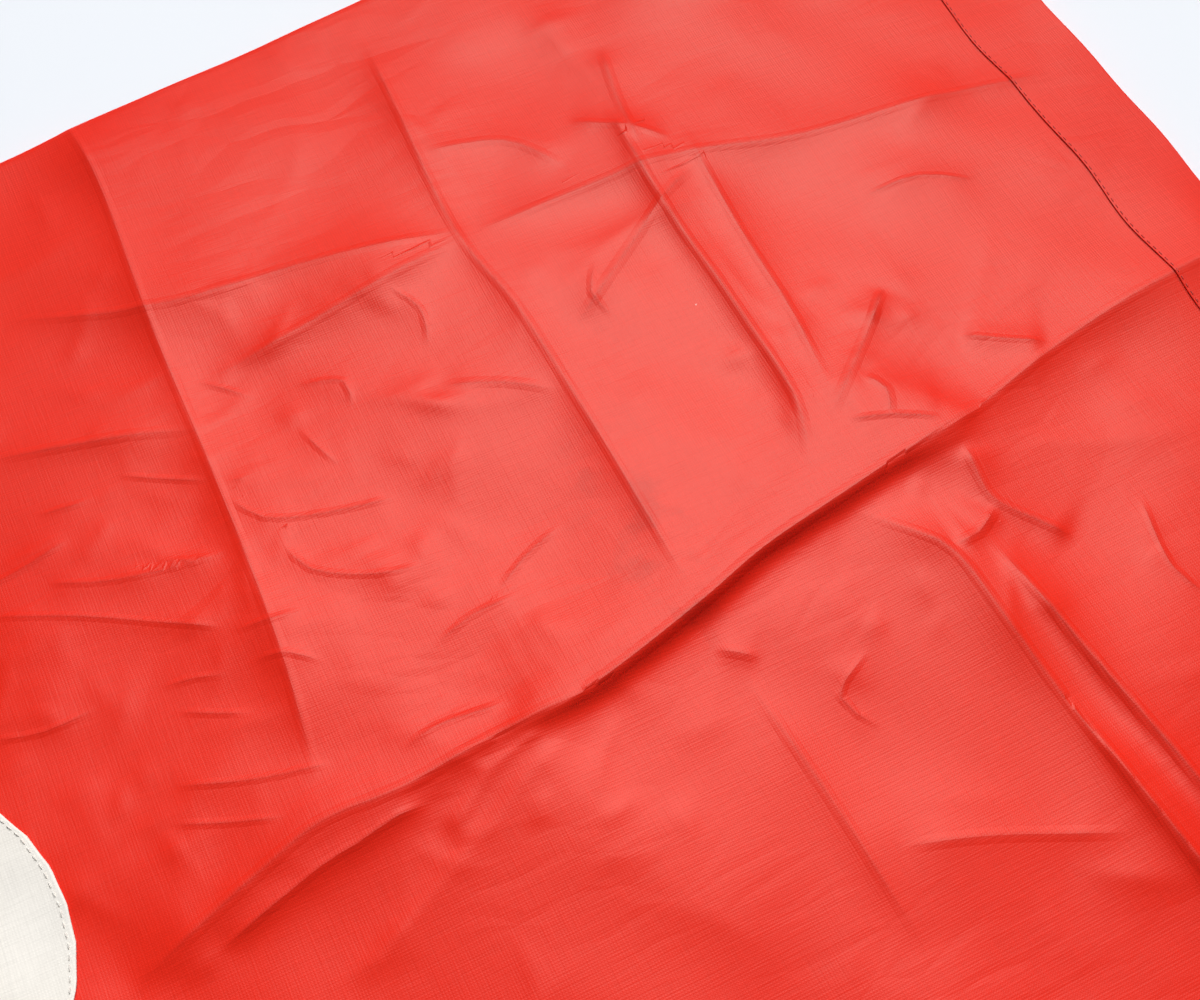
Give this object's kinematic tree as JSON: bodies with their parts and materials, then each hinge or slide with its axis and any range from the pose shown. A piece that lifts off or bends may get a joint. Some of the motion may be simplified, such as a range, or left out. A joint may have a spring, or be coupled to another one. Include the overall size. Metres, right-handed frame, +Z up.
{
  "type": "carp streamer",
  "caption": "Red cotton fish-shaped wind sock laid flat: hooped mouth hem with eyelets, eyes, gill covers, scale rows, hinged fins, forked tail and storage folds.",
  "frame": {"origin": "middle of the underside of the fish as it lies flat on its left side", "axes": "+X from the mouth to the tail, +Y from the back to the belly, +Z up out of the fish's right side"},
  "size_m": [4, 0.88, 0.0045],
  "materials": {
    "red_cotton": "plain woven, dyed, creased",
    "scale_cotton": "plain woven, dyed, sewn on",
    "white_cotton": "plain woven, unbleached",
    "black_cotton": "plain woven, dyed",
    "cotton_tape": "herringbone tape",
    "spring_steel": "satin",
    "brass": "polished, worn"
  },
  "bodies": {
    "front": {"back_tape_front": "cotton_tape", "belly_tape_front": "cotton_tape", "body_panel_left": "red_cotton", "body_panel_right": "red_cotton", "eye_pupil_left": "black_cotton", "eye_pupil_right": "black_cotton", "eye_white_left": "white_cotton", "eye_white_right": "white_cotton", "eyelet_back_left": "brass", "eyelet_back_right": "brass", "eyelet_side_left": "brass", "eyelet_side_right": "brass", "eyelet_washer_back_left": "brass", "eyelet_washer_back_right": "brass", "eyelet_washer_side_left": "brass", "eyelet_washer_side_right": "brass", "gill_cover_left": "white_cotton", "gill_cover_right": "white_cotton", "head_panel_left": "red_cotton", "head_panel_right": "red_cotton", "hoop_band_left": "spring_steel", "hoop_band_right": "spring_steel", "hoop_clip_back": "spring_steel", "hoop_clip_belly": "spring_steel", "mouth_hem_left": "red_cotton", "mouth_hem_right": "red_cotton", "scale_row_1_left": "scale_cotton", "scale_row_1_right": "scale_cotton", "scale_row_2_left": "scale_cotton", "scale_row_2_right": "scale_cotton", "scale_row_3_left": "scale_cotton", "scale_row_3_right": "scale_cotton", "scale_row_4_left": "scale_cotton", "scale_row_4_right": "scale_cotton"},
    "rear": {"back_tape_rear": "cotton_tape", "belly_tape_rear": "cotton_tape", "rear_panel_left": "red_cotton", "rear_panel_right": "red_cotton", "scale_row_5_left": "scale_cotton", "scale_row_5_right": "scale_cotton", "scale_row_6_left": "scale_cotton", "scale_row_6_right": "scale_cotton", "scale_row_7_left": "scale_cotton", "scale_row_7_right": "scale_cotton", "scale_row_8_left": "scale_cotton", "scale_row_8_right": "scale_cotton"},
    "tail": {"tail_lobe_back_left": "red_cotton", "tail_lobe_back_right": "red_cotton", "tail_lobe_belly_left": "red_cotton", "tail_lobe_belly_right": "red_cotton"},
    "dorsal_fin": {"dorsal_fin": "white_cotton"},
    "anal_fin": {"anal_fin": "white_cotton"},
    "pectoral_fin_right": {"pectoral_fin_right": "white_cotton"},
    "pectoral_fin_left": {"pectoral_fin_left": "white_cotton"},
    "pelvic_fin_right": {"pelvic_fin_right": "white_cotton"},
    "pelvic_fin_left": {"pelvic_fin_left": "white_cotton"}
  },
  "joints": [
    {"name": "rear_fold", "type": "hinge", "parent": "front", "child": "rear", "pos_m": [0.1, 0, 0.0048], "axis": [0, 1, 0], "range_deg": [-176, 0]},
    {"name": "tail_fold", "type": "hinge", "parent": "rear", "child": "tail", "pos_m": [1.2, 0, 0.0048], "axis": [0, -1, 0], "range_deg": [0, 176]},
    {"name": "dorsal_fold", "type": "hinge", "parent": "front", "child": "dorsal_fin", "pos_m": [-0.82, -0.30161, 0.0027], "axis": [-0.9953, -0.0972, 0], "range_deg": [0, 170]},
    {"name": "anal_fold", "type": "hinge", "parent": "rear", "child": "anal_fin", "pos_m": [0.52, 0.17874, 0.0027], "axis": [0.9972, -0.0753, 0], "range_deg": [0, 170]},
    {"name": "pelvic_right_fold", "type": "hinge", "parent": "front", "child": "pelvic_fin_right", "pos_m": [-0.5, 0.26889, 0.0031], "axis": [0.9953, -0.0964, 0], "range_deg": [0, 170]},
    {"name": "pelvic_left_fold", "type": "hinge", "parent": "front", "child": "pelvic_fin_left", "pos_m": [-0.5, 0.26889, -0.0003], "axis": [-0.9953, 0.0964, 0], "range_deg": [0, 170]},
    {"name": "pectoral_right_lift", "type": "hinge", "parent": "front", "child": "pectoral_fin_right", "pos_m": [-0.96, 0.03, 0.0045], "axis": [0, -1, 0], "range_deg": [0, 150]},
    {"name": "pectoral_left_lift", "type": "hinge", "parent": "front", "child": "pectoral_fin_left", "pos_m": [-0.96, 0.03, 0], "axis": [0, 1, 0], "range_deg": [0, 150]}
  ]
}
